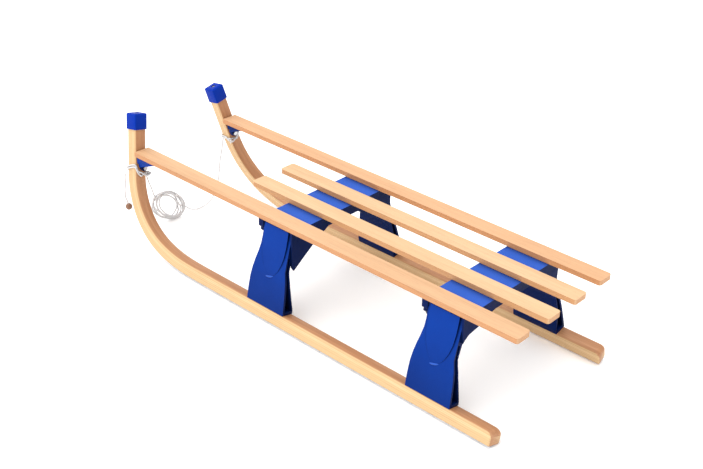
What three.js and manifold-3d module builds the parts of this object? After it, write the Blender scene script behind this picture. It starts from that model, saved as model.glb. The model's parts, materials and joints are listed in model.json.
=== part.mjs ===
// A folding wooden toboggan: a seat of four beech slats on two moulded bridges, carried by two
// bent runners. Each runner, its horn and its two legs turn as one unit about a long axis under
// the outer slat, so both runners fold in under the seat.
// Millimetres, +X towards the horns, +Y to the left, +Z up, the floor at Z = 0.
import * as THREE from 'three';
import Module from 'manifold-3d';

// Seat
const SEAT_HEIGHT = 224.7;
const SLAT_THICKNESS = 11;
const SLAT_WIDTH = 39.3;
const OUTER_SLAT_EDGE_Y = 153;
const INNER_SLAT_EDGE_Y = 62.9;
const OUTER_SLAT_REAR_X = -556;
const INNER_SLAT_REAR_X = -559;
const OUTER_SLAT_FRONT_X = 505.5;
const INNER_SLAT_FRONT_X = 212;
const SLAT_CORNER_RADIUS = 6;

// Runner units, drawn in their own leaning plane: x along the sled, v up the plane, n inward
const SPLAY = THREE.MathUtils.degToRad(12.8);
const RUNNER_EDGE_Y = 196.7;
const RUNNER_EDGE_Z = 7.4;
const RUNNER_WIDTH = 29;
const RUNNER_HEIGHT = 29;
const RUNNER_REAR_X = -546.3;
const RUNNER_BEND_START_X = 243.8;
const RUNNER_BEND_LEAD_IN = 195;
const RUNNER_BEND_RADIUS = 175.3;
const HORN_ANGLE = THREE.MathUtils.degToRad(79.6);
const HORN_TOP_V = 295;
const SHOE_WIDTH = 20;
const SHOE_THICKNESS = 2;

// Horn caps
const CAP_TOP_V = 304;
const CAP_BOTTOM_V = 268;
const CAP_WALL = 2.6;

// Folding axis, parallel to X, one on each side
const HINGE_Y = 138;
const HINGE_Z = SEAT_HEIGHT - 39.5;
const PIN_RADIUS = 3;
const NUT_RADIUS = 5.5;
const NUT_DEPTH = 5;
const KNUCKLE_RADIUS = 8.5;

// Trestles: a bridge with a leg hinged at each end
const TRESTLE_X = { front: 43.5, rear: -395.4 };
const BRIDGE_FRONT = 55;
const BRIDGE_REAR = -45;
const BRIDGE_WALL = 4;
const BRIDGE_PLATE = 4;
const BRIDGE_DEPTH = 23.5;
const BRIDGE_END_Y = 145.2;
const PIN_COVER = 1.6;
const PIN_HEAD = 3;
const EAR_REAR = 41;
const KNUCKLE_REACH = 40.6;
const LEG_PANEL = 5;
const LEG_WALL = 3;
const LEG_TOP_V = 208.4;

// General
const GAP = 0.3;
const SIDES = { left: 1, right: -1 };

const wasm = await Module();
wasm.setup();
const { Manifold, CrossSection } = wasm;

const PLASTIC_BLUE = { color: 0x1c47a6, roughness: 0.38, metalness: 0 };
const BEECH = { color: 0xf2c492, roughness: 0.55, metalness: 0 };
const LAMINATE = { color: 0xe6c193, roughness: 0.55, metalness: 0 };
const ZINC_STEEL = { color: 0xa9adb0, roughness: 0.35, metalness: 0.9 };
const CORD_WHITE = { color: 0xe9e9e6, roughness: 0.9, metalness: 0 };
const BEAD_BROWN = { color: 0x9a6b4a, roughness: 0.6, metalness: 0 };

const toboggan = new THREE.Group();

// ---- helpers -------------------------------------------------------------------------------

function addPiece(name, geometry, finish) {
  const mesh = new THREE.Mesh(geometry, new THREE.MeshStandardMaterial(finish));
  mesh.name = name;
  toboggan.add(mesh);
  return mesh;
}

function toGeometry(solid) {
  const mesh = solid.getMesh();
  const geometry = new THREE.BufferGeometry();
  const corners = new Float32Array(mesh.numVert * 3);
  for (let i = 0; i < mesh.numVert; i += 1) {
    for (let axis = 0; axis < 3; axis += 1) {
      corners[i * 3 + axis] = mesh.vertProperties[i * mesh.numProp + axis];
    }
  }
  geometry.setAttribute('position', new THREE.BufferAttribute(corners, 3));
  geometry.setIndex(new THREE.BufferAttribute(new Uint32Array(mesh.triVerts), 1));
  geometry.computeVertexNormals();
  return geometry;
}

// A prism of an outline drawn in the XY plane, from z = low to z = high
function prism(outline, low, high) {
  const section = new CrossSection([outline], 'EvenOdd');
  return Manifold.extrude(section, high - low).translate([0, 0, low]);
}

function block(x0, x1, y0, y1, z0, z1) {
  return Manifold.cube([x1 - x0, y1 - y0, z1 - z0]).translate([x0, y0, z0]);
}

// A round bar parallel to X
function barAlongX(x0, x1, radius, y, z, sides = 24) {
  const bar = Manifold.cylinder(x1 - x0, radius, radius, sides);
  return bar.rotate([0, 90, 0]).translate([x0, y, z]);
}

function barAlongZ(x, y, z0, z1, radius, sides = 16) {
  return Manifold.cylinder(z1 - z0, radius, radius, sides).translate([x, y, z0]);
}

// A prism of a (y, z) outline, from x0 to x1
function prismAlongX(outline, x0, x1) {
  return prism(outline, x0, x1).rotate([90, 0, 90]);
}

// Turns a solid drawn in a left unit's plane (x, v, n) into place, mirrored on the right
function placeInUnit(solid, side) {
  const left = solid.rotate([90 + THREE.MathUtils.radToDeg(SPLAY), 0, 0]);
  const placed = left.translate([0, RUNNER_EDGE_Y, RUNNER_EDGE_Z]);
  return side > 0 ? placed : placed.mirror([0, 1, 0]);
}

// The folding axis in a unit's own plane
const hingeDrop = HINGE_Z - RUNNER_EDGE_Z;
const hingeInset = RUNNER_EDGE_Y - HINGE_Y;
const HINGE_V = hingeDrop * Math.cos(SPLAY) + hingeInset * Math.sin(SPLAY);
const HINGE_N = hingeInset * Math.cos(SPLAY) - hingeDrop * Math.sin(SPLAY);

// ---- slats ---------------------------------------------------------------------------------

const screwHolesUnder = [];

function slatOutline(rear, front, edge, roundFront) {
  const inner = edge - SLAT_WIDTH;
  const r = SLAT_CORNER_RADIUS;
  const shape = new THREE.Shape();
  shape.moveTo(rear + r, inner);
  if (roundFront) {
    shape.lineTo(front - r, inner);
    shape.absarc(front - r, inner + r, r, -Math.PI / 2, 0, false);
    shape.absarc(front - r, edge - r, r, 0, Math.PI / 2, false);
  } else {
    shape.lineTo(front, inner);
    shape.lineTo(front, edge);
  }
  shape.absarc(rear + r, edge - r, r, Math.PI / 2, Math.PI, false);
  shape.absarc(rear + r, inner + r, r, Math.PI, Math.PI * 1.5, false);
  return shape.getPoints(4).map((point) => [point.x, point.y]);
}

function addSlat(name, side, edge, rear, front, holes) {
  const outline = slatOutline(rear, front, edge, front === INNER_SLAT_FRONT_X);
  let slat = prism(outline, SEAT_HEIGHT - SLAT_THICKNESS, SEAT_HEIGHT);
  for (const x of holes) {
    const centre = edge - SLAT_WIDTH / 2;
    slat = slat.subtract(barAlongZ(x, centre, 0, SEAT_HEIGHT - 2.5, 2.3));
  }
  addPiece(name, toGeometry(side > 0 ? slat : slat.mirror([0, 1, 0])), BEECH);
}

const bridgeHoles = Object.values(TRESTLE_X).map((x) => x + 5);
const BRACKET_SCREW_X = 482;

for (const [label, side] of Object.entries(SIDES)) {
  const outerHoles = [...bridgeHoles, BRACKET_SCREW_X];
  const outer = [OUTER_SLAT_EDGE_Y, OUTER_SLAT_REAR_X, OUTER_SLAT_FRONT_X];
  const inner = [INNER_SLAT_EDGE_Y, INNER_SLAT_REAR_X, INNER_SLAT_FRONT_X];
  addSlat(`outer_slat_${label}`, side, ...outer, outerHoles);
  addSlat(`inner_slat_${label}`, side, ...inner, bridgeHoles);
}

// ---- runners and steel shoes ---------------------------------------------------------------

// The runner's centre line: straight, then a bend that tightens and runs out into the horn
function runnerCentreLine() {
  const middle = RUNNER_HEIGHT / 2;
  const points = [{ x: RUNNER_REAR_X, v: middle, angle: 0 }];
  points.push({ x: RUNNER_BEND_START_X, v: middle, angle: 0 });
  const step = 12;
  let { x, v, angle } = points[1];
  let travelled = 0;
  while (angle < HORN_ANGLE) {
    const ramp = Math.min(1, (travelled + step / 2) / RUNNER_BEND_LEAD_IN);
    const turn = Math.min((step * ramp) / RUNNER_BEND_RADIUS, HORN_ANGLE - angle);
    const halfway = angle + turn / 2;
    x += step * Math.cos(halfway);
    v += step * Math.sin(halfway);
    angle += turn;
    travelled += step;
    points.push({ x, v, angle: Math.min(angle, HORN_ANGLE) });
    if (HORN_ANGLE - angle < 1e-6) break;
  }
  const rest = (HORN_TOP_V - v) / Math.sin(HORN_ANGLE);
  points.push({ x: x + rest * Math.cos(HORN_ANGLE), v: HORN_TOP_V, angle: HORN_ANGLE });
  return points;
}

const centreLine = runnerCentreLine();

// The outline between two offsets from the centre line, over part of its points
function bandOutline(points, lower, upper) {
  const below = points.map((p) => [p.x + lower * Math.sin(p.angle), p.v - lower * Math.cos(p.angle)]);
  const above = points.map((p) => [p.x - upper * Math.sin(p.angle), p.v + upper * Math.cos(p.angle)]);
  return [...below, ...above.reverse()];
}

// Where the horn's centre line is at a height v
function hornX(v) {
  const top = centreLine[centreLine.length - 1];
  return top.x - (top.v - v) / Math.tan(HORN_ANGLE);
}

const hornFrontAtBolt = hornX(HINGE_V) + RUNNER_HEIGHT / 2 / Math.sin(HORN_ANGLE);

const legScrewOffsets = [-38, 38];
const shoeScrewX = [RUNNER_REAR_X + 18, RUNNER_BEND_START_X - 20];
const RUNNER_MIDDLE_N = RUNNER_WIDTH / 2;

// Holes across the runner, along v, as bars in the unit's plane
function barAlongV(x, n, v0, v1, radius, sides = 12) {
  const bar = Manifold.cylinder(v1 - v0, radius, radius, sides).rotate([-90, 0, 0]);
  return bar.translate([x, v0, n]);
}

function coneAlongV(x, n, v0, v1, radius0, radius1, sides = 16) {
  const cone = Manifold.cylinder(v1 - v0, radius0, radius1, sides).rotate([-90, 0, 0]);
  return cone.translate([x, v0, n]);
}

function runnerSolid() {
  const half = RUNNER_HEIGHT / 2;
  const outline = bandOutline(centreLine, half, half);
  // The rear end's top corner is rounded off in three flats
  const rear = outline.pop();
  outline.push([rear[0] + 12, rear[1]]);
  outline.push([rear[0] + 5, rear[1] - 2.5]);
  outline.push([rear[0] + 1, rear[1] - 8]);
  let runner = prism(outline, 0, RUNNER_WIDTH);
  for (const trestle of Object.values(TRESTLE_X)) {
    for (const offset of legScrewOffsets) {
      const x = trestle + offset;
      runner = runner.subtract(barAlongV(x, RUNNER_MIDDLE_N, 9, 40, 2.3));
    }
  }
  for (const x of shoeScrewX) {
    runner = runner.subtract(barAlongV(x, RUNNER_MIDDLE_N, -5, 14, 1.9));
  }
  const bolt = barAlongX(300, 600, PIN_RADIUS + GAP, HINGE_V, HINGE_N);
  const nutRecess = barAlongX(hornFrontAtBolt - NUT_DEPTH - 1, 600, NUT_RADIUS + 1.5, HINGE_V, HINGE_N);
  runner = runner.subtract(bolt).subtract(nutRecess);
  const capScrew = barAlongX(0, 26, 1.9, 0, 0, 12).rotate([0, 0, THREE.MathUtils.radToDeg(HORN_ANGLE)]);
  const holeFoot = HORN_TOP_V - 22;
  return runner.subtract(capScrew.translate([hornX(holeFoot), holeFoot, RUNNER_MIDDLE_N]));
}

// The shoe follows the underside from the rear end to where the horn rises
function shoeSolid() {
  const half = RUNNER_HEIGHT / 2;
  const covered = centreLine.filter((p) => p.v < 62);
  const outline = bandOutline(covered, half + SHOE_THICKNESS, -half - GAP);
  const side = (RUNNER_WIDTH - SHOE_WIDTH) / 2;
  let shoe = prism(outline, side, side + SHOE_WIDTH);
  for (const x of shoeScrewX) {
    shoe = shoe.subtract(coneAlongV(x, RUNNER_MIDDLE_N, -2.1, 0.1, 4.2, 2));
  }
  return shoe;
}

function shoeScrewSolid(x) {
  const head = coneAlongV(x, RUNNER_MIDDLE_N, -SHOE_THICKNESS + 0.2, -GAP, 3.6, 1.6);
  return head.add(barAlongV(x, RUNNER_MIDDLE_N, -GAP - 0.1, 12, 1.5));
}

// ---- horn caps -----------------------------------------------------------------------------

// A box that leans with the horn: its two ends, and how far it stands out from the horn's faces
function hornBox(v0, v1, out) {
  const half = RUNNER_HEIGHT / 2 + out;
  const across = half * Math.sin(HORN_ANGLE);
  const rise = half * Math.cos(HORN_ANGLE);
  const outline = [
    [hornX(v0) - across, v0 + rise],
    [hornX(v0) + across, v0 - rise],
    [hornX(v1) + across, v1 - rise],
    [hornX(v1) - across, v1 + rise],
  ];
  return prism(outline, -out, RUNNER_WIDTH + out);
}

function capSolid() {
  const chamfer = 3;
  const lower = hornBox(CAP_BOTTOM_V, CAP_TOP_V - chamfer, CAP_WALL);
  const upper = hornBox(CAP_TOP_V - chamfer - 0.01, CAP_TOP_V, CAP_WALL - chamfer);
  const rounded = Manifold.hull([lower, upper]);
  const inside = hornBox(CAP_BOTTOM_V - 1, HORN_TOP_V + GAP, GAP);
  const well = barAlongX(0, 40, 5, 0, 0, 20).rotate([0, 0, THREE.MathUtils.radToDeg(HORN_ANGLE)]);
  const wellFoot = HORN_TOP_V + 4.5;
  const shank = barAlongX(-10, 40, 2.2, 0, 0, 12).rotate([0, 0, THREE.MathUtils.radToDeg(HORN_ANGLE)]);
  const cut = well.add(shank).translate([hornX(wellFoot), wellFoot, RUNNER_MIDDLE_N]);
  return rounded.subtract(inside).subtract(cut);
}

function capScrewSolid() {
  const head = barAlongX(0.3, 3, 4.2, 0, 0, 16);
  const shank = barAlongX(-22, 0.4, 1.6, 0, 0, 12);
  const screw = head.add(shank).rotate([0, 0, THREE.MathUtils.radToDeg(HORN_ANGLE)]);
  const foot = HORN_TOP_V + 4.5;
  return screw.translate([hornX(foot), foot, RUNNER_MIDDLE_N]);
}

// ---- legs ----------------------------------------------------------------------------------

// The panel seen from the side, as offsets from the trestle's middle: waisted, broad at the foot
const LEG_FOOT_V = RUNNER_HEIGHT + GAP;
const legFrontEdge = [[53, LEG_FOOT_V], [54, 55], [53.5, 82], [50.5, 105], [47, 123], [43, 139],
  [39.5, 158], [39, 175], [40, LEG_TOP_V]];
const legRearEdge = [[-KNUCKLE_REACH, LEG_TOP_V], [-KNUCKLE_REACH, 122], [-46.5, 100], [-49.5, 80],
  [-52, 55], [-54, LEG_FOOT_V]];

// How deep the leg is, from its outer face, at each height
const legInnerFace = [[RUNNER_WIDTH, LEG_FOOT_V], [RUNNER_WIDTH, 38], [23.5, 58], [16.5, 88], [14, 110],
  [14.5, 128], [17, 150], [21, 168]];
const legDepth = [[0, LEG_FOOT_V], ...legInnerFace, [HINGE_N, HINGE_V - 3], [LEG_PANEL, HINGE_V - 3],
  [LEG_PANEL, LEG_TOP_V], [0, LEG_TOP_V]];

function legSolid(middle) {
  const panel = [...legFrontEdge, ...legRearEdge].map(([x, v]) => [middle + x, v]);
  const face = prism(panel, 0, RUNNER_WIDTH + 5);
  const profile = legDepth.map(([n, v]) => [v, n]);
  const slab = prismAlongX(profile, middle - 80, middle + 80);
  const ends = [middle - KNUCKLE_REACH, middle + KNUCKLE_REACH];
  const knuckle = barAlongX(...ends, KNUCKLE_RADIUS, HINGE_V, HINGE_N, 32);
  const web = block(...ends, HINGE_V - 6, HINGE_V + 6, 1, HINGE_N);
  const body = slab.add(knuckle).add(web).intersect(face);
  return body.subtract(legPockets(middle)).subtract(legHoles(middle));
}

// The leg is hollow from its front and from its rear edge, either side of a spine in the middle
const LEG_SPINE_HALF = 14;
const LEG_FLOOR = 6;
const POCKET_TOP_V = 150;

function legPockets(middle) {
  const floor = LEG_FOOT_V + LEG_FLOOR;
  const back = legInnerFace.filter(([, v]) => v > floor).map(([n, v]) => [v, n - LEG_WALL]);
  const inner = back.filter(([v]) => v < POCKET_TOP_V);
  const top = [[POCKET_TOP_V, 12], [POCKET_TOP_V + 3, LEG_PANEL]];
  const profile = [[floor, LEG_PANEL], [floor, RUNNER_WIDTH - LEG_WALL], ...inner, ...top];
  const hollow = prismAlongX(profile, middle - 80, middle + 80);
  const spine = block(middle - LEG_SPINE_HALF, middle + LEG_SPINE_HALF, 0, 300, 0, 60);
  return hollow.subtract(spine);
}

function legHoles(middle) {
  const bore = barAlongX(middle - 90, middle + 90, PIN_RADIUS + GAP, HINGE_V, HINGE_N);
  const screws = legScrewOffsets.map((x) => barAlongV(middle + x, RUNNER_MIDDLE_N, 20, 60, 2.6));
  return bore.add(Manifold.union(screws));
}

function legScrewSolid(x) {
  const foot = LEG_FOOT_V + LEG_FLOOR + GAP;
  const head = barAlongV(x, RUNNER_MIDDLE_N, foot, foot + 2.6, 4.4, 16);
  return head.add(barAlongV(x, RUNNER_MIDDLE_N, 11, foot + 0.1, 2, 12));
}

// ---- assembling one side -------------------------------------------------------------------

for (const [label, side] of Object.entries(SIDES)) {
  const inUnit = (solid) => toGeometry(placeInUnit(solid, side));
  addPiece(`runner_${label}`, inUnit(runnerSolid()), LAMINATE);
  addPiece(`runner_shoe_${label}`, inUnit(shoeSolid()), ZINC_STEEL);
  shoeScrewX.forEach((x, index) => {
    const end = index === 0 ? 'rear' : 'front';
    addPiece(`shoe_screw_${end}_${label}`, inUnit(shoeScrewSolid(x)), ZINC_STEEL);
  });
  addPiece(`horn_cap_${label}`, inUnit(capSolid()), PLASTIC_BLUE);
  addPiece(`horn_cap_screw_${label}`, inUnit(capScrewSolid()), ZINC_STEEL);
  for (const [end, middle] of Object.entries(TRESTLE_X)) {
    addPiece(`leg_${end}_${label}`, inUnit(legSolid(middle)), PLASTIC_BLUE);
    legScrewOffsets.forEach((offset, index) => {
      const name = `leg_screw_${end}_${label}_${index + 1}`;
      addPiece(name, inUnit(legScrewSolid(middle + offset)), ZINC_STEEL);
    });
  }
}

// ---- bridges, their pins and screws --------------------------------------------------------

// Half of a bridge wall, seen along the sled: (y, depth below the seat top) from the middle out
const bridgeMidDepth = SLAT_THICKNESS + BRIDGE_DEPTH;
const hingeDepth = SEAT_HEIGHT - HINGE_Z;
const haunch = {
  front: [[45, bridgeMidDepth], [93.5, 63], [120.6, 82], [147, 101], [152, 93]],
  rear: [[58, bridgeMidDepth], [84, 41], [104, 50], [120, 52.5], [134, 55], [145, 62], [150, 67],
    [152, 58]],
};
const REAR_WALL_REACH = 152;
const FRONT_WALL_REACH = HINGE_Y + 5.8;

function wallOutline(half, reach) {
  const top = SLAT_THICKNESS + GAP;
  const inside = half.filter(([y]) => y < reach);
  const shoulder = [[reach, hingeDepth - 6], [reach, top]];
  const left = [...inside, ...shoulder].map(([y, depth]) => [y, SEAT_HEIGHT - depth]);
  const right = left.map(([y, z]) => [-y, z]).reverse();
  return [...right, ...left];
}

// A rounded ear in front of each leg, reaching out to the slat's edge
function earSolid(middle, side) {
  const top = SEAT_HEIGHT - SLAT_THICKNESS - GAP;
  const x0 = middle + EAR_REAR;
  const x1 = middle + BRIDGE_FRONT;
  const round = barAlongX(x0, x1, 6.5, 143.5, SEAT_HEIGHT - 28, 24);
  const post = block(x0, x1, 118, 150, top - 10, top);
  const hinge = barAlongX(x0, x1, 6.6, HINGE_Y, HINGE_Z, 24);
  const root = block(x0, x1, 118, 130, top - 26, top);
  const ear = Manifold.hull([round, post]).add(Manifold.hull([hinge, root]));
  return side > 0 ? ear : ear.mirror([0, 1, 0]);
}

function bridgeSolid(end) {
  const middle = TRESTLE_X[end];
  const top = SEAT_HEIGHT - SLAT_THICKNESS - GAP;
  const x0 = middle + BRIDGE_REAR;
  const x1 = middle + BRIDGE_FRONT;
  const rearOutline = wallOutline(haunch[end], REAR_WALL_REACH + GAP);
  const frontOutline = wallOutline(haunch[end], FRONT_WALL_REACH);
  const rearWall = prismAlongX(rearOutline, x0, x0 + BRIDGE_WALL);
  const frontWall = prismAlongX(frontOutline, x1 - BRIDGE_WALL, x1);
  const plate = block(x0, x1, -BRIDGE_END_Y, BRIDGE_END_Y, top - BRIDGE_PLATE, top);
  const ribs = [-88, 0, 88].map((y) => block(x0 + 1, x1 - 1, y - 2, y + 2, top - 20, top - 1));
  let bridge = Manifold.union([rearWall, frontWall, plate, ...ribs]);
  for (const side of Object.values(SIDES)) {
    bridge = bridge.add(earSolid(middle, side));
    bridge = bridge.subtract(barAlongX(x0 + PIN_COVER, x1 + 5, PIN_RADIUS + GAP, side * HINGE_Y, HINGE_Z));
    bridge = bridge.subtract(barAlongX(x1 - PIN_HEAD - GAP, x1 + 5, 5 + GAP, side * HINGE_Y, HINGE_Z));
    for (const edge of [OUTER_SLAT_EDGE_Y, INNER_SLAT_EDGE_Y]) {
      const y = side * (edge - SLAT_WIDTH / 2);
      bridge = bridge.subtract(barAlongZ(middle + 5, y, 0, SEAT_HEIGHT, 2.6));
    }
  }
  return bridge;
}

function slatScrewSolid(x, y) {
  const under = SEAT_HEIGHT - SLAT_THICKNESS - GAP - BRIDGE_PLATE - GAP;
  const head = barAlongZ(x, y, under - 2.6, under, 4.2);
  return head.add(barAlongZ(x, y, under - 0.1, SEAT_HEIGHT - 4, 2, 12));
}

function hingePinSolid(end, side) {
  const x0 = TRESTLE_X[end] + BRIDGE_REAR + PIN_COVER + GAP;
  const x1 = TRESTLE_X[end] + BRIDGE_FRONT - 0.5;
  const y = side * HINGE_Y;
  const shank = barAlongX(x0, x1 - 0.5, PIN_RADIUS, y, HINGE_Z);
  return shank.add(barAlongX(x1 - PIN_HEAD + 0.5, x1, 5, y, HINGE_Z));
}

for (const [end, middle] of Object.entries(TRESTLE_X)) {
  addPiece(`bridge_${end}`, toGeometry(bridgeSolid(end)), PLASTIC_BLUE);
  for (const [label, side] of Object.entries(SIDES)) {
    addPiece(`hinge_pin_${end}_${label}`, toGeometry(hingePinSolid(end, side)), ZINC_STEEL);
    const rows = { outer: OUTER_SLAT_EDGE_Y, inner: INNER_SLAT_EDGE_Y };
    for (const [row, edge] of Object.entries(rows)) {
      const y = side * (edge - SLAT_WIDTH / 2);
      const screw = toGeometry(slatScrewSolid(middle + 5, y));
      addPiece(`slat_screw_${end}_${row}_${label}`, screw, ZINC_STEEL);
    }
  }
}

// ---- wedge brackets between the outer slats and the horns ----------------------------------

const BRACKET_FRONT_X = 502;
const BRACKET_STEP_X = 496.5;
const BRACKET_REAR_X = 440;
const BRACKET_INNER_Y = 124.5;
const BRACKET_OUTER_Y = 150.5;
const BOSS_FRONT_X = 499.4;
const BOSS_LENGTH = 8;

function bracketSolid(side) {
  const top = SEAT_HEIGHT - SLAT_THICKNESS - GAP;
  const outline = [
    [BRACKET_REAR_X, top - 2],
    [BRACKET_STEP_X, SEAT_HEIGHT - 36],
    [BRACKET_STEP_X, SEAT_HEIGHT - 27.5],
    [BRACKET_FRONT_X, SEAT_HEIGHT - 27.5],
    [BRACKET_FRONT_X, top],
    [BRACKET_REAR_X, top],
  ];
  const wedge = prism(outline, -BRACKET_OUTER_Y, -BRACKET_INNER_Y).rotate([90, 0, 0]);
  const boss = barAlongX(BOSS_FRONT_X - BOSS_LENGTH, BOSS_FRONT_X, 8, HINGE_Y, HINGE_Z, 32);
  const bolt = barAlongX(400, 600, PIN_RADIUS + GAP, HINGE_Y, HINGE_Z);
  const headRoom = barAlongX(400, BOSS_FRONT_X - BOSS_LENGTH + 0.01, 6, HINGE_Y, HINGE_Z);
  const screwY = OUTER_SLAT_EDGE_Y - SLAT_WIDTH / 2;
  const screw = barAlongZ(BRACKET_SCREW_X, screwY, 0, SEAT_HEIGHT, 2.6);
  const screwHead = barAlongZ(BRACKET_SCREW_X, screwY, 0, top - 5.5, 4.8);
  let bracket = wedge.add(boss).subtract(bolt).subtract(headRoom);
  bracket = bracket.subtract(screw).subtract(screwHead);
  return side > 0 ? bracket : bracket.mirror([0, 1, 0]);
}

function pivotBoltSolid(side) {
  const rear = BOSS_FRONT_X - BOSS_LENGTH;
  const shank = barAlongX(rear - 1, hornFrontAtBolt - 1.5, PIN_RADIUS, side * HINGE_Y, HINGE_Z);
  return shank.add(barAlongX(rear - 4, rear - GAP, 5.5, side * HINGE_Y, HINGE_Z, 6));
}

function pivotNutSolid(side) {
  const rear = hornFrontAtBolt - NUT_DEPTH - GAP;
  const y = side * HINGE_Y;
  const nut = barAlongX(rear, rear + NUT_DEPTH - 1, NUT_RADIUS, y, HINGE_Z, 6);
  return nut.subtract(barAlongX(rear - 5, rear + 20, PIN_RADIUS + GAP, y, HINGE_Z));
}

function bracketScrewSolid(side) {
  const under = SEAT_HEIGHT - SLAT_THICKNESS - GAP - 5.5 - GAP;
  const y = side * (OUTER_SLAT_EDGE_Y - SLAT_WIDTH / 2);
  const head = barAlongZ(BRACKET_SCREW_X, y, under - 2.6, under, 4.2);
  return head.add(barAlongZ(BRACKET_SCREW_X, y, under - 0.1, SEAT_HEIGHT - 4, 2, 12));
}

for (const [label, side] of Object.entries(SIDES)) {
  addPiece(`horn_bracket_${label}`, toGeometry(bracketSolid(side)), PLASTIC_BLUE);
  addPiece(`horn_pivot_bolt_${label}`, toGeometry(pivotBoltSolid(side)), ZINC_STEEL);
  addPiece(`horn_pivot_nut_${label}`, toGeometry(pivotNutSolid(side)), ZINC_STEEL);
  addPiece(`bracket_screw_${label}`, toGeometry(bracketScrewSolid(side)), ZINC_STEEL);
}

// ---- pulling cord --------------------------------------------------------------------------

const CORD_DIAMETER = 3.6;

// A cord tube along a route of points chosen by hand
function cordTube(points, steps) {
  const route = new THREE.CatmullRomCurve3(points.map((p) => new THREE.Vector3(...p)), false, 'centripetal');
  const section = new THREE.Shape();
  section.absarc(0, 0, CORD_DIAMETER / 2, 0, Math.PI * 2, false);
  return new THREE.ExtrudeGeometry(section, {
    steps, curveSegments: 8, bevelEnabled: false, extrudePath: route,
  });
}

// The windings round each horn, as one ring clear of the wood
const WRAP_LOW_V = 164;
const WRAP_HIGH_V = 173;

function wrapSolid() {
  const outer = hornBox(WRAP_LOW_V, WRAP_HIGH_V, CORD_DIAMETER + GAP);
  return outer.subtract(hornBox(WRAP_LOW_V - 5, WRAP_HIGH_V + 5, GAP));
}

const nearStrand = [[537, 121, 165], [534, 110, 148], [530, 102, 128], [526, 97, 106]];
const farStrand = [[526, 11, 20], [523, -10, 5], [520, -39, 2.6], [521, -68, 6], [523, -90, 20],
  [525, -104, 48], [529, -112, 100], [533, -117, 140], [537, -121, 165]];
const cordTail = [[531, 166, 163], [531, 166.5, 141], [537, 166, 118], [538, 165, 103], [534, 164, 92]];
const HANK_X = 526;
const BEAD_RADIUS = 8;

function hankSolid() {
  const shape = new THREE.Shape();
  shape.moveTo(104, 92);
  shape.quadraticCurveTo(112, 70, 100, 50);
  shape.quadraticCurveTo(84, 12, 56, 9);
  shape.quadraticCurveTo(26, 6, 20, 24);
  shape.quadraticCurveTo(14, 40, 40, 66);
  shape.quadraticCurveTo(62, 88, 84, 98);
  shape.quadraticCurveTo(98, 104, 104, 92);
  const outline = shape.getPoints(5).slice(0, -1).map((point) => [point.x, point.y]).reverse();
  return prismAlongX(outline, HANK_X - 9, HANK_X + 9);
}

for (const [label, side] of Object.entries(SIDES)) {
  addPiece(`cord_windings_${label}`, toGeometry(placeInUnit(wrapSolid(), side)), CORD_WHITE);
}
addPiece('cord_strand_left', cordTube(nearStrand, 12), CORD_WHITE);
addPiece('cord_strand_right', cordTube(farStrand, 36), CORD_WHITE);
addPiece('cord_hank', toGeometry(hankSolid()), CORD_WHITE);
addPiece('cord_tail', cordTube(cordTail, 12), CORD_WHITE);
const bead = addPiece('cord_bead', new THREE.SphereGeometry(BEAD_RADIUS, 20, 14), BEAD_BROWN);
bead.position.set(531, 163, 80);

export default toboggan;
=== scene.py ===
import bpy
import bmesh
import json
import math
from mathutils import Matrix, Vector


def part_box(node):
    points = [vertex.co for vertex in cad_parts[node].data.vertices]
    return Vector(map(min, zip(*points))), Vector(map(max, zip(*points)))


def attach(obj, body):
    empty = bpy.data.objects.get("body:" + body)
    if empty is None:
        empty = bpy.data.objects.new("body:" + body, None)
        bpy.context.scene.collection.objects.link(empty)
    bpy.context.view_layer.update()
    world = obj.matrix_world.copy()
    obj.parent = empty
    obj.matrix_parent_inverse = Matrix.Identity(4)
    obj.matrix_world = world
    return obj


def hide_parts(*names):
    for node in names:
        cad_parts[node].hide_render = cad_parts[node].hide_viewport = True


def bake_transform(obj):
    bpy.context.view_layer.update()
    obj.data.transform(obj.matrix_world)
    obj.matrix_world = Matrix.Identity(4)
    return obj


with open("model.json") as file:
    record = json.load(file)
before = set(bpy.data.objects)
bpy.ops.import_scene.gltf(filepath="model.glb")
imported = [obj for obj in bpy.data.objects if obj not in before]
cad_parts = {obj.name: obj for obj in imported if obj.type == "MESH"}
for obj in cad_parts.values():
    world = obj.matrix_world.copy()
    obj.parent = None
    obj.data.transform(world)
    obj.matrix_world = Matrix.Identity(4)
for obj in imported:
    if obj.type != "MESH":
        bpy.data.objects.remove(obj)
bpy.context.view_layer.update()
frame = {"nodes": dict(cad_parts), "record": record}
NODES = frame["nodes"]
SIDES = {"left": 1, "right": -1}

# ---- camera ---------------------------------------------------------------------------------
camera_data = bpy.data.cameras.new("camera")
camera_data.lens = 57.794
camera_data.sensor_width = 36
camera_data.clip_start = 0.05
camera = bpy.data.objects.new("camera", camera_data)
bpy.context.collection.objects.link(camera)
right = Vector((-0.73412, -0.67873, 0.0197))
up = Vector((0.34654, -0.34955, 0.87047))
back = Vector((-0.58393, 0.64586, 0.49182))
place = Matrix((right, up, back)).transposed().to_4x4()
place.translation = Vector((-1.4176, 1.5393, 1.3327))
camera.matrix_world = place
bpy.context.scene.camera = camera

# ---- the leaning plane of a runner unit, in millimetres: x along, v up the plane, n inward ----
SPLAY = math.radians(12.8)
FOOT_Y = 196.7
FOOT_Z = 7.4
HORN_ANGLE = math.radians(79.6)
HORN_TOP_V = 295.0
HALF = 14.5              # half the runner's thickness and width
RUNNER_REAR_X = -546.3
BEND_START_X = 243.8
STRAIGHT = 790.1         # length of the runner's straight part
BEND_EASE = 195          # how far the bend takes to reach its full sharpness
BEND_RADIUS = 175.3
CAP_WALL = 2.6
CAP_BOTTOM_V = 267.8
CAP_TOP_V = 304.0
CAP_ROUND = 0.0034
TRESTLE = {"front": 43.5, "rear": -395.4}


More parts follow.
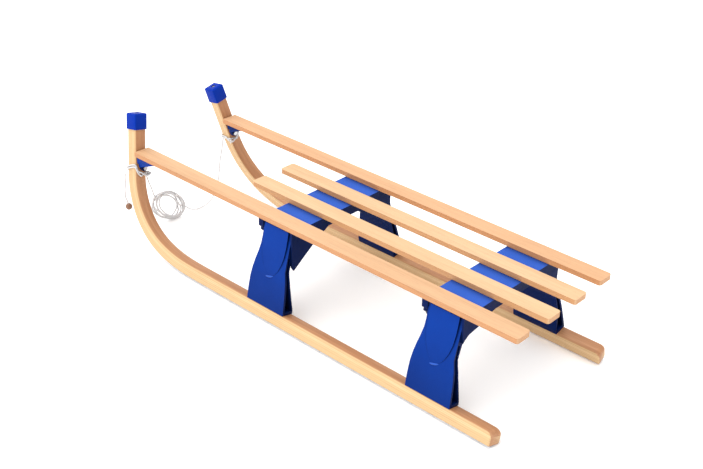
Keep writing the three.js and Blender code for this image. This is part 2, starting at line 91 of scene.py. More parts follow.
def in_unit(x, v, n, side):
    """A point of a runner unit, in metres in the frame; side is 1 on the left and -1 on the right."""
    y = side * (FOOT_Y - math.cos(SPLAY) * n - math.sin(SPLAY) * v)
    z = FOOT_Z - math.sin(SPLAY) * n + math.cos(SPLAY) * v
    return Vector((x, y, z)) / 1000


def centre_line():
    """The runner's centre line as (x, v, angle, travelled)."""
    points = [(RUNNER_REAR_X, HALF, 0.0, 0.0), (BEND_START_X, HALF, 0.0, STRAIGHT)]
    x, v, angle, travelled = BEND_START_X, HALF, 0.0, 0.0
    step = 12.0
    while angle < HORN_ANGLE - 1e-6:
        ramp = min(1.0, (travelled + step / 2) / BEND_EASE)
        turn = min(step * ramp / BEND_RADIUS, HORN_ANGLE - angle)
        x += step * math.cos(angle + turn / 2)
        v += step * math.sin(angle + turn / 2)
        angle += turn
        travelled += step
        points.append((x, v, min(angle, HORN_ANGLE), STRAIGHT + travelled))
    rest = (HORN_TOP_V - v) / math.sin(HORN_ANGLE)
    top_x = x + rest * math.cos(HORN_ANGLE)
    points.append((top_x, HORN_TOP_V, HORN_ANGLE, STRAIGHT + travelled + rest))
    return points


LINE = centre_line()


def horn_x(v):
    return LINE[-1][0] - (HORN_TOP_V - v) / math.tan(HORN_ANGLE)


def on_horn(v, q, n, side):
    """A point beside the horn: q forward of its centre line, n inward from its outer face."""
    x = horn_x(v) + q * math.sin(HORN_ANGLE)
    return in_unit(x, v - q * math.cos(HORN_ANGLE), n, side)


# ---- small mesh helpers -----------------------------------------------------------------------
def new_object(name, mesh):
    ob = bpy.data.objects.new(name, mesh)
    bpy.context.collection.objects.link(ob)
    return ob


def new_mesh(name, bm):
    """The bmesh as a mesh with its faces turned outward; the bmesh is freed."""
    bmesh.ops.recalc_face_normals(bm, faces=bm.faces)
    mesh = bpy.data.meshes.new(name)
    bm.to_mesh(mesh)
    bm.free()
    return mesh


def smooth(mesh, degrees=40):
    for p in mesh.polygons:
        p.use_smooth = True
    mesh.set_sharp_from_angle(angle=math.radians(degrees))


def spline(points, per=8):
    """A smooth Catmull-Rom curve through the points."""
    pts = [Vector(p) for p in points]
    pts = [pts[0] * 2 - pts[1]] + pts + [pts[-1] * 2 - pts[-2]]
    out = []
    for i in range(1, len(pts) - 2):
        a, b, c, d = pts[i - 1:i + 3]
        for k in range(per):
            t = k / per
            out.append(0.5 * (2 * b + (c - a) * t + (2 * a - 5 * b + 4 * c - d) * t * t
                              + (3 * b - a - 3 * c + d) * t ** 3))
    out.append(pts[-2])
    return out


def tube_into(bm, path, radius, sides=10, closed=False):
    """Adds a round tube along the path; the radius is a number or a function of the share travelled."""
    count = len(path)
    tangents = []
    for i in range(count):
        a = path[i - 1] if (i or closed) else path[0]
        b = path[(i + 1) % count] if (i < count - 1 or closed) else path[-1]
        tangents.append((b - a).normalized())
    normal = tangents[0].orthogonal().normalized()
    rings = []
    for i, (p, t) in enumerate(zip(path, tangents)):
        normal = (normal - t * normal.dot(t)).normalized()
        side = t.cross(normal)
        r = radius(i / (count - 1)) if callable(radius) else radius
        ring = [bm.verts.new(p + (normal * math.cos(a) + side * math.sin(a)) * r)
                for a in [2 * math.pi * k / sides for k in range(sides)]]
        rings.append(ring)
    for i in range(count if closed else count - 1):
        one, two = rings[i], rings[(i + 1) % count]
        shift = 0
        if closed and i == count - 1:
            shift = min(range(sides), key=lambda s: (one[0].co - two[s].co).length)
        for k in range(sides):
            j = (k + 1) % sides
            bm.faces.new((one[k], one[j], two[(j + shift) % sides], two[(k + shift) % sides]))
    if not closed:
        ends = ((rings[0], path[0], -tangents[0], True), (rings[-1], path[-1], tangents[-1], False))
        for ring, p, t, flip in ends:
            r = radius(0.0 if flip else 1.0) if callable(radius) else radius
            tip = bm.verts.new(p + t * r * 0.6)
            for k in range(sides):
                j = (k + 1) % sides
                bm.faces.new((ring[j], ring[k], tip) if flip else (ring[k], ring[j], tip))


def tube(name, paths, radius, sides=10, closed=()):
    bm = bmesh.new()
    for i, path in enumerate(paths):
        tube_into(bm, path, radius, sides, i in closed)
    mesh = new_mesh(name, bm)
    smooth(mesh, 60)
    return new_object(name, mesh)


# ---- cords ------------------------------------------------------------------------------------
CORD_R = 0.0018
KNOT_SIZE = 1.75
KNOT_DEPTH = 2.1


def lashing(side):
    """Two turns round the horn, crossing under the bracket, and a small knot at the inner edge."""
    snug = 2.1             # the cord's middle, off the wood
    over = snug + 3.5      # the same where it lies on the other turn
    rear, front, outer, inner = -HALF - snug, HALF + snug, -snug, 2 * HALF + snug
    turn_a = [(rear, 31.0, 171), (rear, 22, 168), (rear, 13, 163), (rear, 5, 170), (rear, -1.2, 181),
              (-12, outer, 184), (0, outer, 182), (12, outer, 178), (HALF + 1.2, -1.2, 176),
              (front, 6, 175), (front, 15, 174), (front, 24, 173), (HALF + 1.2, 30.2, 172),
              (10, inner, 171), (-2, inner, 171), (-12, inner, 171)]
    turn_b = [(-HALF - over, 30.5, 163), (-HALF - over, 22, 165), (-HALF - over, 12, 170.5), (rear, 4, 175),
              (rear, -1.2, 186), (-12, outer, 189), (0, outer, 187), (12, outer, 183), (HALF + 1.2, -1.2, 181),
              (front, 6, 180), (front, 15, 178), (front, 24, 177), (HALF + 1.2, 30.2, 176),
              (10, inner, 175.5), (-2, inner, 174), (-13, 2 * HALF + over, 168)]
    paths = []
    for turn in (turn_a, turn_b):
        pts = [on_horn(v, q, n, side) for q, n, v in turn]
        loop = spline(pts + [pts[0]], 5)
        paths.append(loop[:-1])
    knot = []
    for k in range(30):
        a = 2 * math.pi * k / 30
        x = math.sin(a) + 2 * math.sin(2 * a)
        y = math.cos(a) - 2 * math.cos(2 * a)
        knot.append(on_horn(167.5 + x * KNOT_SIZE, -HALF - 4.6 + y * KNOT_SIZE,
                            33.5 - math.sin(3 * a) * KNOT_DEPTH, side))
    paths.append(knot)
    return tube(f"cord_lashing_{'left' if side > 0 else 'right'}", paths, CORD_R, 10, (0, 1, 2))


def hank_route():
    """The spare cord: seven loose loops that lean together and stand on the floor."""
    centre = Vector((526, 52, 42.5))
    major = Vector((0, 0.75, 0.66)).normalized()
    minor = Vector((0, -0.66, 0.75)).normalized()
    turns = 7
    start, end = -0.3, 2.45 + 2 * math.pi * turns
    steps = 30 * turns
    pts = []
    for k in range(steps + 1):
        a = start + (end - start) * k / steps
        loop = a / (2 * math.pi)
        swell_a = 46.5 + 3.2 * math.sin(loop * 2.3 + 0.6) - 3.0 * math.sin(loop * 5.1)
        swell_b = 27.0 + 2.3 * math.sin(loop * 3.7 + 1.2)
        lean = 0.16 * math.sin(loop * 4.3 + 0.4)
        m = major * math.cos(lean) + minor * math.sin(lean)
        w = minor * math.cos(lean) - major * math.sin(lean)
        fade = min(1.0, (end - a) / 3.0)
        drift = (major * 3.6 * math.sin(loop * 3.1 + 2.0) + minor * 4.6 * math.sin(loop * 2.6 + 0.9)) * fade
        p = centre + drift + m * swell_a * math.cos(a) + w * swell_b * math.sin(a)
        p.x += -9 + 18 * (0.5 - 0.5 * math.cos(loop * 2.15)) + 1.8 * math.sin(a * 2 + loop)
        p.z = max(p.z, 2.2)
        pts.append(p)
    return pts


hank = [p / 1000 for p in hank_route()]
near_top = Vector((0.5305, 0.1145, 0.168))
far_top = Vector((0.5285, -0.1325, 0.166))
near_low = Vector((0.5265, 0.0985, 0.107))
near_path = spline([near_top, (0.5298, 0.1095, 0.150), (0.5282, 0.1045, 0.128), near_low,
                    (hank[0] + near_low) / 2 + Vector((0, 0.001, 0.0)), hank[0]], 8)
far_path = spline([hank[-1], (0.5255, 0.0, 0.020), (0.5235, -0.016, 0.0075), (0.520, -0.039, 0.0028),
                   (0.521, -0.068, 0.0072), (0.5225, -0.090, 0.022), (0.524, -0.105, 0.049),
                   (0.526, -0.1155, 0.100), (0.5275, -0.1265, 0.140), far_top], 8)
tail_path = spline([(0.531, 0.1655, 0.166), (0.5312, 0.1672, 0.156), (0.5325, 0.1668, 0.141),
                    (0.537, 0.1662, 0.119), (0.538, 0.1652, 0.103), (0.5335, 0.1638, 0.0905),
                    (0.5312, 0.1631, 0.082), (0.5308, 0.163, 0.0745)], 8)

cord_hank = tube("cord_loops", [hank], CORD_R)
cord_near = tube("cord_near_strand", [near_path], CORD_R)
cord_far = tube("cord_far_strand", [far_path], CORD_R)
cord_tail = tube("cord_loose_end", [tail_path], CORD_R)
lashings = {label: lashing(side) for label, side in SIDES.items()}
for label, ob in lashings.items():
    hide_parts(f"cord_windings_{label}")
    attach(ob, f"{label}_unit")
for ob, node in ((cord_hank, "cord_hank"), (cord_near, "cord_strand_left"), (cord_far, "cord_strand_right"),
                 (cord_tail, "cord_tail")):
    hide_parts(node)
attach(cord_hank, "seat")
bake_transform(cord_near)
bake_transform(cord_far)
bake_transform(cord_tail)


BEAD_CENTRE = (531, 163, 80)


def turned_bead():
    """A turned wooden bead with a flat and a bore at each end."""
    profile = [(1.9, 7.2), (2.6, 7.6), (3.6, 7.4), (5.2, 6.2), (6.7, 4.3), (7.6, 2.2), (8.0, 0.0),
               (7.6, -2.2), (6.7, -4.3), (5.2, -6.2), (3.6, -7.4), (2.6, -7.6), (1.9, -7.2)]
    bm = bmesh.new()
    rings = []
    x0, y0, z0 = BEAD_CENTRE
    for r, z in profile:
        rings.append([bm.verts.new(Vector((x0 + r * math.cos(a), y0 + r * math.sin(a), z0 + z)) / 1000)
                      for a in [2 * math.pi * k / 32 for k in range(32)]])
    for one, two in zip(rings, rings[1:] + rings[:1]):
        for k in range(32):
            bm.faces.new((one[k], one[(k + 1) % 32], two[(k + 1) % 32], two[k]))
    mesh = new_mesh("bead", bm)
    smooth(mesh, 50)
    return new_object("turned_bead", mesh)


bead = turned_bead()
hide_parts("cord_bead")
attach(bead, "seat")


# ---- materials --------------------------------------------------------------------------------
class Maker:
    """A node material with short ways to add the nodes it needs."""

    def __init__(self, name):
        self.material = bpy.data.materials.new(name)
        self.material.use_nodes = True
        self.tree = self.material.node_tree
        self.shader = self.tree.nodes["Principled BSDF"]

    def add(self, kind, **values):
        node = self.tree.nodes.new(kind)
        for key, value in values.items():
            setattr(node, key, value)
        return node

    def link(self, source, target):
        self.tree.links.new(source, target)

    def coords(self, scale, offset=(0, 0, 0), source=None):
        mapping = self.add("ShaderNodeMapping")
        mapping.inputs["Scale"].default_value = scale
        mapping.inputs["Location"].default_value = offset
        if source is None:
            source = self.add("ShaderNodeTexCoord").outputs["Object"]
        self.link(source, mapping.inputs["Vector"])
        return mapping.outputs[0]

    def noise(self, vector, scale=1.0, detail=4.0, rough=0.5, distortion=0.0):
        node = self.add("ShaderNodeTexNoise")
        node.inputs["Scale"].default_value = scale
        node.inputs["Detail"].default_value = detail
        node.inputs["Roughness"].default_value = rough
        node.inputs["Distortion"].default_value = distortion
        self.link(vector, node.inputs["Vector"])
        return node.outputs["Fac"]

    def ramp(self, fac, *stops):
        node = self.add("ShaderNodeValToRGB")
        elements = node.color_ramp.elements
        while len(elements) < len(stops):
            elements.new(0.5)
        for element, (at, colour) in zip(elements, stops):
            element.position = at
            element.color = (*colour, 1) if len(colour) == 3 else colour
        self.link(fac, node.inputs["Fac"])
        return node.outputs["Color"]

    def span(self, value, low, high, to_low=0.0, to_high=1.0):
        node = self.add("ShaderNodeMapRange")
        for key, number in zip(("From Min", "From Max", "To Min", "To Max"), (low, high, to_low, to_high)):
            node.inputs[key].default_value = number
        self.link(value, node.inputs["Value"])
        return node.outputs["Result"]

    def mix(self, fac, a, b, blend="MIX"):
        node = self.add("ShaderNodeMix", data_type="RGBA", blend_type=blend)
        for socket, value in ((node.inputs[0], fac), (node.inputs[6], a), (node.inputs[7], b)):
            if isinstance(value, bpy.types.NodeSocket):
                self.link(value, socket)
            elif isinstance(value, tuple):
                socket.default_value = (*value, 1)
            else:
                socket.default_value = value
        return node.outputs[2]

    def math(self, operation, a, b=0.0):
        node = self.add("ShaderNodeMath", operation=operation)
        for socket, value in ((node.inputs[0], a), (node.inputs[1], b)):
            if isinstance(value, bpy.types.NodeSocket):
                self.link(value, socket)
            else:
                socket.default_value = value
        return node.outputs[0]

    def finish(self, colour, roughness, height=None, strength=0.2, distance=0.0004):
        self.link(colour, self.shader.inputs["Base Color"])
        self.link(roughness, self.shader.inputs["Roughness"])
        if height is not None:
            bump = self.add("ShaderNodeBump")
            bump.inputs["Strength"].default_value = strength
            bump.inputs["Distance"].default_value = distance
            self.link(height, bump.inputs["Height"])
            self.link(bump.outputs[0], self.shader.inputs["Normal"])
        return self.material


def beech(name, light, dark, offset):
    """Planed beech: long broad figure, fine fibre, short dark dashes and darker end grain, with painted shade
    that darkens the flanks and the undersides.
    """
    m = Maker(name)
    broad = m.noise(m.coords((1.6, 26, 60), offset), 1.0, 5, 0.55, 0.6)
    fibre = m.noise(m.coords((14, 420, 420), offset), 1.0, 6, 0.65)
    fleck = m.noise(m.coords((95, 900, 900), offset), 1.0, 2, 0.5)
    colour = m.ramp(broad, (0.3, dark), (0.5, tuple((a + b) / 2 for a, b in zip(light, dark))), (0.68, light))
    streak = m.span(fibre, 0.35, 0.62, 0.86, 1.04)
    colour = m.mix(1.0, colour, m.ramp(streak, (0.0, (0, 0, 0)), (1.0, (1, 1, 1))), "MULTIPLY")
    dashes = m.span(fleck, 0.62, 0.72, 0.0, 0.38)
    colour = m.mix(dashes, colour, tuple(c * 0.62 for c in dark))
    normal = m.add("ShaderNodeNewGeometry").outputs["Normal"]
    split = m.add("ShaderNodeSeparateXYZ")
    m.link(normal, split.inputs[0])
    end = m.span(m.math("ABSOLUTE", split.outputs[0]), 0.75, 0.98)
    pores = m.noise(m.coords((300, 500, 900), offset), 1.0, 3, 0.6)
    end_colour = m.ramp(pores, (0.35, (0.42, 0.20, 0.085)), (0.6, (0.60, 0.33, 0.16)))
    colour = m.mix(end, colour, end_colour)
    # painted shade: sideways-facing faces (the flanks) are multiplied darker and more orange, standing in for
    # the shade on the slats' sides
    flank_shade = m.span(m.math("ABSOLUTE", split.outputs[1]), 0.6, 0.95, 0.0, 0.8)
    colour = m.mix(flank_shade, colour, m.mix(1.0, colour, (0.84, 0.62, 0.45), "MULTIPLY"))
    # painted shade: downward-facing faces blend toward dark brown, standing in for the shade under the slats
    underside_shade = m.span(split.outputs[2], -0.1, -0.8)
    colour = m.mix(m.math("MULTIPLY", underside_shade, 0.5), colour, (0.36, 0.19, 0.09))
    rough = m.span(fibre, 0.3, 0.7, 0.42, 0.6)
    m.shader.inputs["Specular IOR Level"].default_value = 0.35
    return m.finish(colour, rough, fibre, 0.25, 0.0003)


PLY = 0.00413


def laminate():
    """Bent plies: glue lines on the flanks, one ply's broad figure on the top and bottom faces."""
    m = Maker("laminate")
    grain = m.add("ShaderNodeAttribute", attribute_name="grain").outputs["Vector"]
    layer = m.add("ShaderNodeAttribute", attribute_name="edge").outputs["Fac"]
    split = m.add("ShaderNodeSeparateXYZ")
    m.link(grain, split.inputs[0])
    wander = m.noise(m.coords((6, 30, 30), source=grain), 1.0, 3, 0.5)
    fibre = m.noise(m.coords((18, 520, 520), source=grain), 1.0, 6, 0.65)
    broad = m.noise(m.coords((3.2, 60, 60), (3, 1, 2), grain), 1.0, 5, 0.6, 0.4)
    height = m.math("ADD", split.outputs[1], m.math("MULTIPLY", m.math("SUBTRACT", wander, 0.5), 0.0011))
    count = m.math("DIVIDE", m.math("ADD", height, 0.1), PLY)
    phase = m.math("FRACT", count)
    line = m.math("ABSOLUTE", m.math("SUBTRACT", phase, 0.5))
    glue = m.span(line, 0.05, 0.13, 1.0, 0.0)
    which = m.math("FLOOR", count)
    ply = m.add("ShaderNodeTexWhiteNoise", noise_dimensions="1D")
    m.link(which, ply.inputs["W"])
    side = m.ramp(ply.outputs["Value"], (0.0, (0.60, 0.385, 0.185)), (0.5, (0.70, 0.475, 0.25)),
                  (1.0, (0.76, 0.54, 0.30)))
    side = m.mix(m.span(fibre, 0.34, 0.66, 0.0, 0.35), side, (0.50, 0.30, 0.14))
    faint = m.span(wander, 0.35, 0.65, 0.25, 0.8)
    side = m.mix(m.math("MULTIPLY", glue, faint), side, (0.34, 0.18, 0.075))
    face = m.ramp(broad, (0.3, (0.38, 0.165, 0.072)), (0.5, (0.47, 0.225, 0.105)), (0.7, (0.56, 0.29, 0.145)))
    face = m.mix(m.span(fibre, 0.36, 0.66, 0.0, 0.42), face, (0.30, 0.125, 0.05))
    colour = m.mix(layer, face, side)
    rough = m.span(fibre, 0.3, 0.7, 0.38, 0.58)
    m.shader.inputs["Specular IOR Level"].default_value = 0.35
    bump = m.math("SUBTRACT", fibre, m.math("MULTIPLY", m.math("MULTIPLY", glue, layer), 0.6))
    return m.finish(colour, rough, bump, 0.3, 0.0003)


def moulded(name, colour, deep, specular, shade, wall_shade=None, ends=None):
    """Fine-grained moulded plastic with painted shade: an ambient-occlusion mask raised to the power shade
    darkens its hollows toward near-black. The wall colour is painted shade on a bridge's upright faces, and
    the ends colour is painted shade on a leg's front, rear and inner faces."""
    m = Maker(name)
    cloud = m.noise(m.coords((14, 14, 14)), 1.0, 3, 0.5)
    pebble = m.noise(m.coords((650, 650, 650)), 1.0, 3, 0.6)
    scuff = m.noise(m.coords((45, 90, 60)), 1.0, 5, 0.7, 1.2)
    tone = m.ramp(cloud, (0.3, deep), (0.7, colour))
    tone = m.mix(m.span(scuff, 0.60, 0.78, 0.0, 0.12), tone, tuple(c * 1.5 + 0.01 for c in colour))
    # painted shade: a bridge's upright faces take the near-black wall colour in place of the shade under the
    # seat
    if wall_shade:
        upright = m.add("ShaderNodeSeparateXYZ")
        m.link(m.add("ShaderNodeNewGeometry").outputs["Normal"], upright.inputs[0])
        tone = m.mix(m.span(upright.outputs[2], 0.35, 0.8), wall_shade, tone)
    # painted shade: a leg's front and rear faces and its inner faces take the near-black ends colour in place
    # of the shade in its hollow sides and under the seat
    if ends:
        own = m.add("ShaderNodeTexCoord")
        facing = m.add("ShaderNodeSeparateXYZ")
        m.link(own.outputs["Normal"], facing.inputs[0])
        place = m.add("ShaderNodeSeparateXYZ")
        m.link(own.outputs["Object"], place.inputs[0])
        inward = m.math("MULTIPLY", facing.outputs[1], place.outputs[1])
        tone = m.mix(m.span(inward, -0.03, -0.10, 0.0, 0.6), tone, ends)
        tone = m.mix(m.span(m.math("ABSOLUTE", facing.outputs[0]), 0.45, 0.85), tone, ends)
    # painted shade: an ambient-occlusion mask blends toward a near-black copy of the colour in hollows and
    # under parts
    ao_shade = m.add("ShaderNodeAmbientOcclusion", samples=8)
    ao_shade.inputs["Distance"].default_value = 0.22
    unshaded_share = m.math("POWER", ao_shade.outputs["AO"], shade)
    tone = m.mix(unshaded_share, tuple(c * 0.06 for c in colour), tone)
    rough = m.span(m.mix(0.5, cloud, scuff), 0.3, 0.7, 0.34, 0.54)
    m.shader.inputs["Specular IOR Level"].default_value = specular
    return m.finish(tone, rough, pebble, 0.12, 0.00015)


def zinc_steel():
    m = Maker("steel")
    brushed = m.noise(m.coords((60, 900, 900)), 1.0, 4, 0.6)
    patch = m.noise(m.coords((70, 70, 70)), 1.0, 4, 0.6)
    colour = m.ramp(patch, (0.3, (0.42, 0.42, 0.43)), (0.7, (0.62, 0.62, 0.63)))
    m.shader.inputs["Metallic"].default_value = 1.0
    return m.finish(colour, m.span(brushed, 0.3, 0.7, 0.24, 0.46), brushed, 0.15, 0.0001)


def braided():
    m = Maker("cord")
    spot = m.add("ShaderNodeTexVoronoi")
    m.link(m.coords((1100, 1100, 800)), spot.inputs["Vector"])
    spot.inputs["Scale"].default_value = 1.0
    strand = spot.outputs["Distance"]
    soil = m.noise(m.coords((60, 60, 60)), 1.0, 4, 0.6)
    colour = m.ramp(strand, (0.15, (0.72, 0.71, 0.71)), (0.75, (0.53, 0.525, 0.53)))
    colour = m.mix(m.span(soil, 0.45, 0.75, 0.0, 0.35), colour, (0.62, 0.54, 0.52))
    m.shader.inputs["Sheen Weight"].default_value = 0.15
    return m.finish(colour, m.span(soil, 0.3, 0.7, 0.75, 0.92), strand, 0.5, 0.0003)


def bead_wood():
    m = Maker("bead")
    ring = m.noise(m.coords((120, 120, 700)), 1.0, 4, 0.6, 0.5)
    colour = m.ramp(ring, (0.3, (0.16, 0.075, 0.04)), (0.7, (0.30, 0.155, 0.09)))
    return m.finish(colour, m.span(ring, 0.3, 0.7, 0.4, 0.6), ring, 0.2, 0.0002)


SLAT_TONES = {
    "outer_slat_left": ((0.66, 0.405, 0.225), (0.58, 0.335, 0.175), (0.0, 3.1, 0.4)),
    "inner_slat_left": ((0.68, 0.45, 0.255), (0.61, 0.38, 0.20), (5.0, 1.7, 2.2)),
    "inner_slat_right": ((0.68, 0.44, 0.25), (0.60, 0.37, 0.195), (9.0, 7.3, 4.1)),
    "outer_slat_right": ((0.66, 0.39, 0.21), (0.58, 0.32, 0.165), (13.0, 5.2, 7.7)),
}
LAMINATE = laminate()
# bridge plastic: the legs' blue lightened as painted light on its up-facing tops, with painted shade on its
# upright faces
BRIDGE_LIT_SHADED_PLASTIC = moulded("bridge_plastic_painted_light_shade", (0.040, 0.118, 0.53), (0.030, 0.100, 0.46), 0.04, 1.9,
                         wall_shade=(0.0012, 0.010, 0.075))
# lip plastic: a lighter copy of the leg plastic, a painted highlight along the lip under the tongue
LIP_HIGHLIGHT_PLASTIC = moulded("lip_plastic_painted_highlight", (0.012, 0.085, 0.46), (0.009, 0.070, 0.40), 0.25, 0.5)
# leg plastic: its ends colour is painted shade on the front, rear and inner faces
PLASTIC = moulded("leg_plastic_painted_shade", (0.0016, 0.037, 0.275), (0.0010, 0.030, 0.235), 0.06, 1.5,
                  ends=(0.0006, 0.010, 0.085))
CAP_PLASTIC = moulded("cap_plastic", (0.0006, 0.030, 0.35), (0.0004, 0.025, 0.30), 0.06, 1.0)
STEEL = zinc_steel()
CORD = braided()
BEAD = bead_wood()
finish_of = {"laminate": LAMINATE, "plastic": PLASTIC, "steel": STEEL, "cord": CORD, "bead": BEAD}
slots = {s["node"]: s["material_slot"] for s in frame["record"]["subparts"]}


def soften(ob, width, segments=3, angle=35):
    bevel = ob.modifiers.new("soft_edges", "BEVEL")
    bevel.width = width
    bevel.segments = segments
    bevel.limit_method = "ANGLE"
    bevel.angle_limit = math.radians(angle)
    bevel.use_clamp_overlap = True
    return bevel


for name, ob in NODES.items():
    if name in SLAT_TONES:
        material = beech(name + "_beech", *SLAT_TONES[name])
    elif name.startswith("bridge"):
        material = BRIDGE_LIT_SHADED_PLASTIC
    elif name.startswith("horn_cap_") and "screw" not in name:
        material = CAP_PLASTIC
    else:
        material = finish_of[slots[name]]
    ob.data.materials.clear()
    ob.data.materials.append(material)
    if name in SLAT_TONES:
        soften(ob, 0.0026, 4)
    elif name.startswith("horn_bracket"):
        soften(ob, 0.0012, 3)
    elif name.startswith("bridge"):
        soften(ob, 0.0009, 2)
    elif name.startswith("runner_shoe"):
        soften(ob, 0.0004, 2)
for ob in (cord_hank, cord_near, cord_far, cord_tail, *lashings.values()):
    ob.data.materials.append(CORD)
bead.data.materials.append(BEAD)


# ---- runners: rounded laminated bars bent into the horns -----------------------------------------
CORNER = 3.0             # rounding along the bar's four edges
CORNER_STEPS = 4
END_ROUND = 10.5         # rounding of the top of the rear end
END_SKEW = 4.2           # how much farther back the inner edge of the rear end reaches
END_SKEW_FADE = 14
END_EDGE = 1.5           # rounding round the end face
EDGE_BLEND = 3.2         # width over which the plies give way to one ply's face
OTHER_WOOD = 60          # shifts the grain, so that the two runners differ


def quarter_drop(radius, travelled):
    """How far a quarter round of this radius still lies below its top."""
    if travelled >= radius:
        return 0.0
    return radius - math.sqrt(max(0.0, radius ** 2 - (radius - travelled) ** 2))


def runner(side):
    """Rounded sections along the centre line, each vertex with its place along the grain, and with
    edge 1 where it shows the plies and 0 where it shows one ply's face."""
    stations = []
    for (x0, v0, a0, s0), (x1, v1, a1, s1) in zip(LINE, LINE[1:]):
        parts = 12 if s1 - s0 > 100 else 2
        for k in range(parts):
            t = k / parts
            stations.append((x0 + (x1 - x0) * t, v0 + (v1 - v0) * t, a0 + (a1 - a0) * t, s0 + (s1 - s0) * t))
    stations.append(LINE[-1])
    x0, v0, a0, s0 = stations[0]
    nose = [0.0, 0.5, 1.5, 3.0, 5.0, 8.0, 12.0]
    stations = [(x0 + d, v0, a0, s0 + d) for d in nose] + stations[1:]
    section = []
    for cx, cy, start in ((1, 1, 0), (-1, 1, 90), (-1, -1, 180), (1, -1, 270)):
        for k in range(CORNER_STEPS + 1):
            a = math.radians(start + 90 * k / CORNER_STEPS)
            section.append((cx * (HALF - CORNER) + CORNER * math.cos(a),
                            cy * (HALF - CORNER) + CORNER * math.sin(a)))
    bm = bmesh.new()
    grain = bm.verts.layers.float_vector.new("grain")
    edge = bm.verts.layers.float.new("edge")
    rings = []
    for x, v, angle, s in stations:
        near_end = s - s0
        drop = quarter_drop(END_ROUND, near_end)
        shrink = 1 - quarter_drop(END_EDGE, near_end) / HALF
        skew = END_SKEW * max(0.0, 1 - near_end / END_SKEW_FADE)
        ring = []
        for q, h in section:
            hh = h
            if drop and h > 0:
                hh = h - drop * (h + HALF) / (2 * HALF)
            qq = q * shrink
            hh = hh * shrink
            lean = skew * (q + HALF) / (2 * HALF)
            place_x = x - lean - hh * math.sin(angle)
            vert = bm.verts.new(in_unit(place_x, v + hh * math.cos(angle), HALF + qq, side))
            vert[grain] = Vector((s, hh, qq + side * OTHER_WOOD)) / 1000
            share = (abs(q) - abs(h)) / EDGE_BLEND
            vert[edge] = min(1.0, max(0.0, share + 0.5))
            ring.append(vert)
        rings.append(ring)
    count = len(section)
    for one, two in zip(rings, rings[1:]):
        for k in range(count):
            j = (k + 1) % count
            bm.faces.new((one[k], one[j], two[j], two[k]))
    bm.faces.new(rings[0][::-1])
    bm.faces.new(rings[-1])
    mesh = new_mesh("runner", bm)
    smooth(mesh, 40)
    ob = new_object(f"laminated_runner_{'left' if side > 0 else 'right'}", mesh)
    mesh.materials.append(LAMINATE)
    return ob


def cut(ob, cutters, operation="DIFFERENCE"):
    """Applies exact booleans to the object and removes their cutters."""
    for cutter in cutters:
        modifier = ob.modifiers.new("cut", "BOOLEAN")
        modifier.object = cutter
        modifier.operation = operation
        modifier.solver = "EXACT"
    bpy.context.view_layer.update()
    graph = bpy.context.evaluated_depsgraph_get()
    mesh = bpy.data.meshes.new_from_object(ob.evaluated_get(graph))
    ob.modifiers.clear()
    ob.data = mesh
    for cutter in cutters:
        bpy.data.objects.remove(cutter, do_unlink=True)


def rounded_block(side):
    """The outside of a horn cap, with all but its lowest edges rounded."""
    half = HALF + CAP_WALL
    bm = bmesh.new()
    corners = [[[bm.verts.new(on_horn(v, q, HALF + d, side)) for d in (-half, half)] for q in (-half, half)]
               for v in (CAP_BOTTOM_V, CAP_TOP_V)]
    faces = [(corners[0][0][0], corners[0][0][1], corners[0][1][1], corners[0][1][0]),
             (corners[1][0][0], corners[1][0][1], corners[1][1][1], corners[1][1][0])]
    for (a, b), (c, d) in (((0, 0), (0, 1)), ((0, 1), (1, 1)), ((1, 1), (1, 0)), ((1, 0), (0, 0))):
        faces.append((corners[0][a][b], corners[0][c][d], corners[1][c][d], corners[1][a][b]))
    for face in faces:
        bm.faces.new(face)
    bmesh.ops.recalc_face_normals(bm, faces=bm.faces)
    foot = set(corners[0][a][b] for a in (0, 1) for b in (0, 1))
    round_edges = [e for e in bm.edges if not (e.verts[0] in foot and e.verts[1] in foot)]
    bmesh.ops.bevel(bm, geom=round_edges, offset=CAP_ROUND, segments=5, profile=0.5, affect="EDGES")
    return new_object("rounded_block", new_mesh("rounded_block", bm))


NUT_WELL_RADIUS = 0.0071
NUT_WELL_REACH = 0.03


def nut_well(side):
    """The round recess in the horn's front face that the pivot nut sits in."""
    low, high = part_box(f"horn_pivot_nut_{'left' if side > 0 else 'right'}")
    y, z = (low[1] + high[1]) / 2, (low[2] + high[2]) / 2
    middle = Matrix.Translation((low[0] - 0.001 + NUT_WELL_REACH / 2, y, z))
    bm = bmesh.new()
    bmesh.ops.create_cone(bm, cap_ends=True, segments=32, radius1=NUT_WELL_RADIUS, radius2=NUT_WELL_RADIUS,
                          depth=NUT_WELL_REACH, matrix=middle @ Matrix.Rotation(math.pi / 2, 4, "Y"))
    return new_object("well", new_mesh("well", bm))


for label, side in SIDES.items():
    ob = runner(side)
    cut(ob, [nut_well(side)])
    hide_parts(f"runner_{label}")
    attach(ob, f"{label}_unit")


# ---- horn caps: the same shells with rounder corners ----------------------------------------------
for label, side in SIDES.items():
    node = NODES[f"horn_cap_{label}"]
    cap = new_object(f"rounded_cap_{label}", node.data.copy())
    cut(cap, [rounded_block(side)], "INTERSECT")
    cap.data.materials.clear()
    cap.data.materials.append(CAP_PLASTIC)
    smooth(cap.data, 35)
    soften(cap, 0.0012, 3, 30)
    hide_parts(node.name)
    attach(cap, f"{label}_unit")


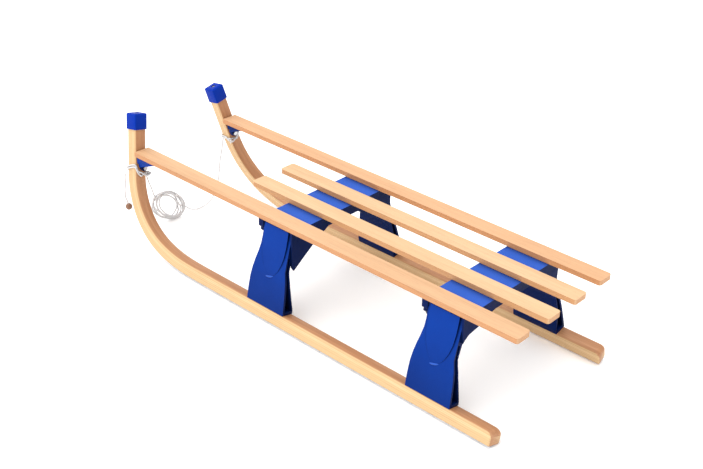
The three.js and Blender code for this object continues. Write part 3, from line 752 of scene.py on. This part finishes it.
# ---- legs: the moulding with its tongue, side wings and the small lip under the tongue -------------
WING_FOOT_V = 98.0
WING_TOP_V = 216
WING_SLOPE = 4.6 / 110
WING_OUTSIDE = 75
TONGUE_REAR = [(-33.5, WING_TOP_V), (-34, 190), (-34, 172), (-32, 150), (-27.5, 132), (-21, 117), (-13, 106),
               (-5, 100), (-2, 98)]
TONGUE_FRONT = [(33.5, WING_TOP_V), (33.5, 190), (33, 172), (31, 150), (26, 132), (19.5, 117), (12, 106),
                (5, 100), (2, 98)]


def wing_cutter(middle, edge, outside, side):
    """A thin wedge that sets a leg's outer face back beside its tongue, deeper the higher it is."""
    outline = edge + [(outside, WING_FOOT_V), (outside, WING_TOP_V)]
    bm = bmesh.new()
    over, under = [], []
    for x, v in outline:
        over.append(bm.verts.new(in_unit(middle + x, v, -3, side)))
        under.append(bm.verts.new(in_unit(middle + x, v, (v - WING_FOOT_V) * WING_SLOPE + 0.02, side)))
    bm.faces.new(over)
    bm.faces.new(under[::-1])
    for k in range(len(outline)):
        j = (k + 1) % len(outline)
        bm.faces.new((over[k], under[k], under[j], over[j]))
    return new_object("wing", new_mesh("wing", bm))


def lip_radius(share):
    return 0.0003 + 0.0022 * math.sin(math.pi * share) ** 0.7


for label, side in SIDES.items():
    for end, middle in TRESTLE.items():
        node = NODES[f"leg_{end}_{label}"]
        leg = new_object(f"moulded_leg_{end}_{label}", node.data.copy())
        cut(leg, [wing_cutter(middle, TONGUE_REAR, -WING_OUTSIDE, side),
                  wing_cutter(middle, TONGUE_FRONT, WING_OUTSIDE, side)])
        leg.data.materials.clear()
        leg.data.materials.append(PLASTIC)
        soften(leg, 0.0011, 3, 30)
        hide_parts(node.name)
        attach(leg, f"{label}_unit")
        arc = [in_unit(middle + x, 98.2 - side * 0.28 * x + 0.010 * x * x, 0.9, side)
               for x in [k * 1.4 - 11.2 for k in range(17)]]
        lip = tube(f"leg_lip_{end}_{label}", [arc], lip_radius, 12)
        # the lip's lighter plastic is a painted highlight
        lip.data.materials.append(LIP_HIGHLIGHT_PLASTIC)
        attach(lip, f"{label}_unit")

# ---- floor and light --------------------------------------------------------------------------
bm = bmesh.new()
bmesh.ops.create_grid(bm, x_segments=1, y_segments=1, size=9)
floor_mesh = bpy.data.meshes.new("floor")
bm.to_mesh(floor_mesh)
bm.free()
floor = new_object("floor", floor_mesh)
floor.location.z = -0.0004
white = bpy.data.materials.new("floor_white")
white.use_nodes = True
paint = white.node_tree.nodes["Principled BSDF"].inputs
paint["Base Color"].default_value = (0.98, 0.98, 0.98, 1)
paint["Roughness"].default_value = 1.0
paint["Specular IOR Level"].default_value = 0.0
paint["Emission Color"].default_value = (1, 1, 1, 1)
paint["Emission Strength"].default_value = 0.1
floor_mesh.materials.append(white)

world = bpy.data.worlds.new("world")
bpy.context.scene.world = world
world.use_nodes = True
sky = world.node_tree.nodes["Background"].inputs
sky["Color"].default_value = (1, 1, 1, 1)
sky["Strength"].default_value = 1.0


def sun(name, direction, strength, angle):
    data = bpy.data.lights.new(name, "SUN")
    data.energy = strength
    data.angle = math.radians(angle)
    lamp = bpy.data.objects.new(name, data)
    bpy.context.collection.objects.link(lamp)
    lamp.rotation_mode = "QUATERNION"
    lamp.rotation_quaternion = Vector(direction).to_track_quat("Z", "Y")
    return lamp


sun("key", (0.35, 0.32, 0.88), 2.6, 80)
bpy.context.scene.view_settings.view_transform = "Standard"
